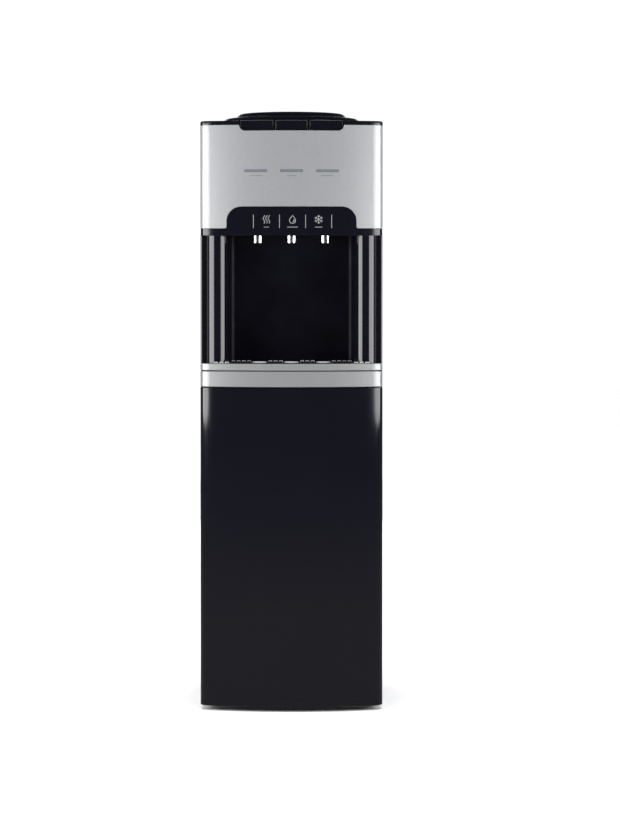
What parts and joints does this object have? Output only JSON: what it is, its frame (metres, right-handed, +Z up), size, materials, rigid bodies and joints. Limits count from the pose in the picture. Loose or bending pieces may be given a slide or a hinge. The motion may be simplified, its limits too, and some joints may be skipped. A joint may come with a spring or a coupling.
{
  "type": "floor-standing water dispenser",
  "caption": "Floor-standing top-loading water dispenser: bottle collar, push keys over chrome taps, recessed alcove with drip tray, hinged cabinet door.",
  "frame": {"origin": "on the floor, in the middle of the overall footprint", "axes": "+Z up, front faces -Y, +X to the right of a person who looks at the front"},
  "size_m": [0.31, 0.35, 1.0195],
  "materials": {
    "zinc_steel": "zinc plated",
    "black_rubber": "matte",
    "black_steel": "semi-gloss powder coat",
    "screw_steel": "satin",
    "black_gloss": "high gloss",
    "black_matte": "fine grain",
    "silver_plastic": "satin metallic paint",
    "white_plastic": "satin",
    "chrome": "polished",
    "lens": "clear tinted",
    "board_green": "solder mask",
    "liner_grey": "satin",
    "stainless": "brushed",
    "foam": "foam",
    "copper": "drawn copper",
    "silicone": "translucent",
    "red_plastic": "gloss",
    "green_plastic": "gloss"
  },
  "bodies": {
    "cabinet": {"base_plate": "zinc_steel", "feet": "black_rubber", "left_side_panel": "black_steel", "right_side_panel": "black_steel", "rear_panel": "black_steel", "panel_screws": "screw_steel", "top_cover": "black_gloss", "bottle_collar": "black_gloss", "upper_front_panel": "silver_plastic", "indicator_lenses": "lens", "indicator_board": "board_green", "control_fascia": "black_gloss", "lower_band": "silver_plastic", "key_frame": "black_matte", "key_shaft": "screw_steel", "hot_key_spring": "screw_steel", "room_key_spring": "screw_steel", "cold_key_spring": "screw_steel", "tap_bodies": "white_plastic", "tap_nozzles": "chrome", "alcove_liner": "black_gloss", "tray_shelf": "black_matte", "door_hinges": "zinc_steel", "cabinet_liner": "liner_grey", "door_catch": "black_matte", "cold_tank": "stainless", "water_baffle": "white_plastic", "evaporator_coil": "copper", "cold_tank_jacket": "foam", "hot_tank": "stainless", "heater_band": "stainless", "hot_tank_jacket": "foam", "tank_shelves": "zinc_steel", "water_tubes": "silicone", "compressor": "black_steel", "compressor_mounts": "black_rubber", "condenser_tube": "black_steel", "condenser_wires": "black_steel", "condenser_brackets": "black_matte", "filter_drier": "copper", "refrigerant_lines": "copper", "switch_housing": "black_matte", "drain_spout": "white_plastic", "cord_gland": "black_matte"},
    "bottle_guard": {"bottle_seat": "white_plastic", "feed_probe": "white_plastic"},
    "hot_key": {"hot_key": "black_gloss"},
    "room_key": {"room_key": "black_gloss"},
    "cold_key": {"cold_key": "black_gloss"},
    "hot_plunger": {"hot_plunger": "white_plastic"},
    "room_plunger": {"room_plunger": "white_plastic"},
    "cold_plunger": {"cold_plunger": "white_plastic"},
    "drip_tray": {"drip_tray": "silver_plastic"},
    "drip_grille": {"drip_grille": "black_matte"},
    "cabinet_door": {"cabinet_door": "black_gloss", "door_inner_panel": "black_matte"},
    "heater_switch": {"heater_switch": "red_plastic"},
    "cooling_switch": {"cooling_switch": "green_plastic"},
    "thermostat_knob": {"thermostat_knob": "black_matte"},
    "drain_cap": {"drain_cap": "white_plastic"}
  },
  "joints": [
    {"name": "hot_key_press", "type": "hinge", "parent": "cabinet", "child": "hot_key", "pos_m": [-0.058, -0.122, 0.99], "axis": [1, 0, 0], "range_deg": [0, 5], "stiffness_Nm_per_rad": 0.8, "springref_deg": -5.73, "deforming": ["hot_key_spring"]},
    {"name": "hot_plunger_slide", "type": "slide", "parent": "cabinet", "child": "hot_plunger", "axis": [0, 0, -1], "range_m": [0, 0.0026]},
    {"name": "room_key_press", "type": "hinge", "parent": "cabinet", "child": "room_key", "pos_m": [0, -0.122, 0.99], "axis": [1, 0, 0], "range_deg": [0, 5], "stiffness_Nm_per_rad": 0.8, "springref_deg": -5.73, "deforming": ["room_key_spring"]},
    {"name": "room_plunger_slide", "type": "slide", "parent": "cabinet", "child": "room_plunger", "axis": [0, 0, -1], "range_m": [0, 0.0026]},
    {"name": "cold_key_press", "type": "hinge", "parent": "cabinet", "child": "cold_key", "pos_m": [0.058, -0.122, 0.99], "axis": [1, 0, 0], "range_deg": [0, 5], "stiffness_Nm_per_rad": 0.8, "springref_deg": -5.73, "deforming": ["cold_key_spring"]},
    {"name": "cold_plunger_slide", "type": "slide", "parent": "cabinet", "child": "cold_plunger", "axis": [0, 0, -1], "range_m": [0, 0.0026]},
    {"name": "door_swing", "type": "hinge", "parent": "cabinet", "child": "cabinet_door", "pos_m": [0.1505, -0.1245, 0.278], "axis": [0, 0, 1], "range_deg": [0, 110]},
    {"name": "tray_pull", "type": "slide", "parent": "cabinet", "child": "drip_tray", "axis": [0, -1, 0], "range_m": [0, 0.12]},
    {"name": "grille_lift", "type": "slide", "parent": "drip_tray", "child": "drip_grille", "axis": [0, 0, 1], "range_m": [0, 0.06]},
    {"name": "guard_lift", "type": "slide", "parent": "cabinet", "child": "bottle_guard", "axis": [0, 0, 1], "range_m": [0, 0.07]},
    {"name": "heater_switch_rock", "type": "hinge", "parent": "cabinet", "child": "heater_switch", "pos_m": [-0.103, 0.144, 0.93], "axis": [1, 0, 0], "range_deg": [-8, 8]},
    {"name": "cooling_switch_rock", "type": "hinge", "parent": "cabinet", "child": "cooling_switch", "pos_m": [-0.077, 0.144, 0.93], "axis": [1, 0, 0], "range_deg": [-8, 8]},
    {"name": "thermostat_turn", "type": "hinge", "parent": "cabinet", "child": "thermostat_knob", "pos_m": [0.09, 0.152, 0.93], "axis": [0, -1, 0], "range_deg": [-135, 135]},
    {"name": "drain_cap_off", "type": "slide", "parent": "cabinet", "child": "drain_cap", "axis": [0, 1, 0], "range_m": [0, 0.02]}
  ],
  "couplings": [
    {"joint": "hot_plunger_slide", "follows": "hot_key_press", "m_per_rad": 0.028},
    {"joint": "room_plunger_slide", "follows": "room_key_press", "m_per_rad": 0.028},
    {"joint": "cold_plunger_slide", "follows": "cold_key_press", "m_per_rad": 0.028}
  ]
}
